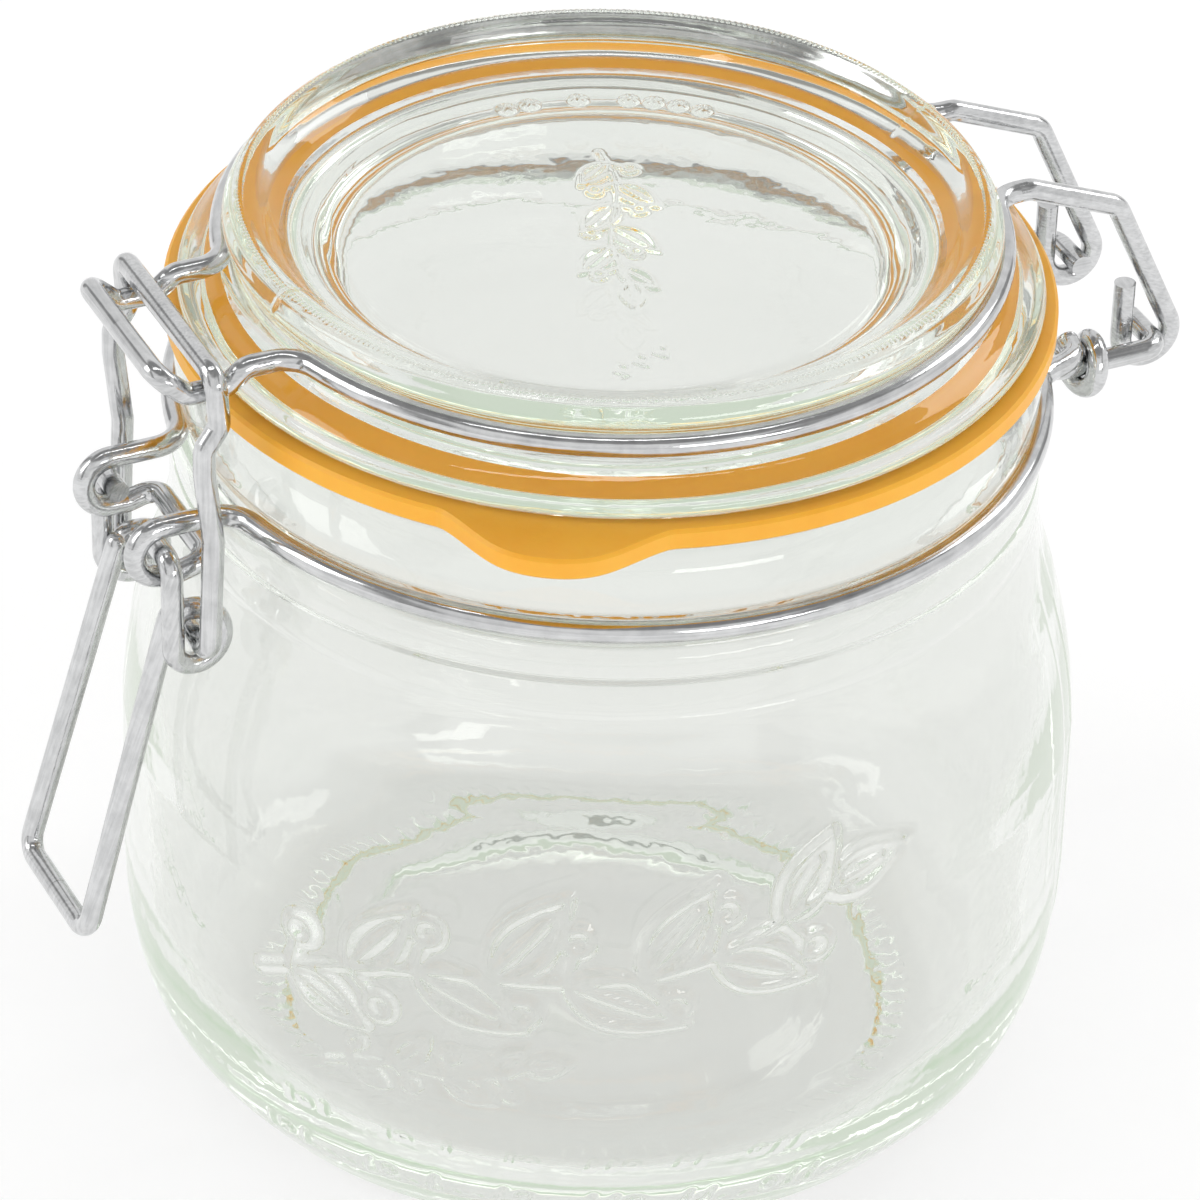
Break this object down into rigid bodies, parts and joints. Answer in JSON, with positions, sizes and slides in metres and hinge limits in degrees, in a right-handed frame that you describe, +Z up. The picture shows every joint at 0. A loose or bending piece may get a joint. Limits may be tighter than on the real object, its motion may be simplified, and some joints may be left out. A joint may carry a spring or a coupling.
{
  "type": "clip-top preserving jar",
  "caption": "Round clear glass preserving jar with a hinged glass lid, orange rubber seal with a pull tab, and a wire bail clamp with a pull-down lever.",
  "frame": {"origin": "centre of the foot, on the surface the jar stands on; the jar's axis is Z", "axes": "+Z up along the jar's axis, +X towards the lid hinge, -X towards the clamp, -Y towards the embossed front"},
  "size_m": [0.1304, 0.1048, 0.1063],
  "materials": {
    "clear_glass": "polished, slight green tint in thick sections",
    "orange_rubber": "satin",
    "zinc_wire": "bright zinc plate with drawing marks"
  },
  "bodies": {
    "jar": {"glass_jar": "clear_glass", "neck_wire": "zinc_wire", "hinge_wire": "zinc_wire"},
    "lid": {"glass_lid": "clear_glass", "lid_wire": "zinc_wire", "rubber_seal": "orange_rubber"},
    "lever": {"clamp_lever": "zinc_wire"},
    "link": {"clamp_link": "zinc_wire"}
  },
  "joints": [
    {"name": "lid_hinge", "type": "hinge", "parent": "jar", "child": "lid", "pos_m": [0.061, 0, 0.08], "axis": [0, 1, 0], "range_deg": [0, 105]},
    {"name": "lever_pivot", "type": "hinge", "parent": "jar", "child": "lever", "pos_m": [-0.0546, 0, 0.0795], "axis": [0, 1, 0], "range_deg": [0, 120]},
    {"name": "link_swing", "type": "hinge", "parent": "lever", "child": "link", "pos_m": [-0.0514, 0, 0.069], "axis": [0, 1, 0], "range_deg": [-88, 0]}
  ],
  "couplings": [
    {"joint": "link_swing", "follows": "lever_pivot", "ratio": -0.72}
  ]
}
